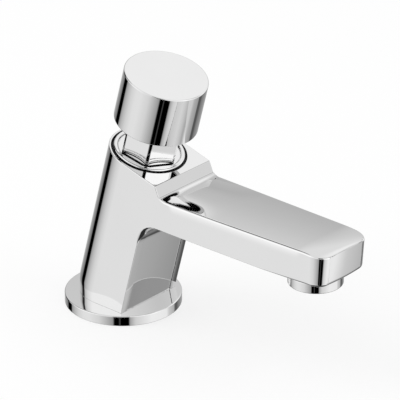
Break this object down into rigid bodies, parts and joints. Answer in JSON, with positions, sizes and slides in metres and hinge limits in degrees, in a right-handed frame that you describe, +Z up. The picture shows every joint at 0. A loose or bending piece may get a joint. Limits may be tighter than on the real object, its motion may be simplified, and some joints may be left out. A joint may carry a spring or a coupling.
{
  "type": "push timed tap",
  "caption": "Polished chrome basin tap with a leaning column, a square spout and a sprung push button that opens a self-closing timed valve.",
  "frame": {"origin": "centre of the base flange's underside, on the deck and on the axis of the deck hole", "axes": "+X along the spout towards its tip, +Z up, +Y to the left when looking along the spout"},
  "size_m": [0.1462, 0.05, 0.1641],
  "materials": {
    "chrome_plate": "polished chrome plate on brass",
    "bare_brass": "turned brass",
    "stainless_steel": "drawn and turned stainless steel",
    "black_rubber": "moulded black rubber",
    "white_acetal": "moulded white acetal",
    "red_fibre": "punched red fibre"
  },
  "bodies": {
    "tap": {"tap_body": "chrome_plate", "base_flange": "chrome_plate", "base_seal": "black_rubber", "inlet_tail": "bare_brass", "tail_seal": "red_fibre", "inlet_strainer": "stainless_steel", "deck_washer": "black_rubber", "clamp_washer": "stainless_steel", "backnut": "bare_brass", "valve_seat": "bare_brass", "seat_seal": "black_rubber", "valve_cage": "white_acetal", "return_spring": "stainless_steel", "head_nut": "chrome_plate", "head_gasket": "red_fibre", "stem_seal": "black_rubber", "aerator_housing": "chrome_plate", "aerator_insert": "white_acetal", "flow_regulator": "white_acetal", "aerator_gasket": "black_rubber"},
    "plunger": {"push_button": "chrome_plate", "plunger_stem": "stainless_steel", "timing_piston": "white_acetal", "piston_lip_seal": "black_rubber", "timing_jet": "bare_brass", "valve_washer": "black_rubber", "washer_holder": "bare_brass", "washer_nut": "bare_brass"}
  },
  "joints": [
    {"name": "button_push", "type": "slide", "parent": "tap", "child": "plunger", "axis": [-0.2588, 0, -0.9659], "range_m": [0, 0.007], "stiffness_N_per_m": 1500, "springref_m": -0.01, "deforming": ["return_spring"]}
  ]
}
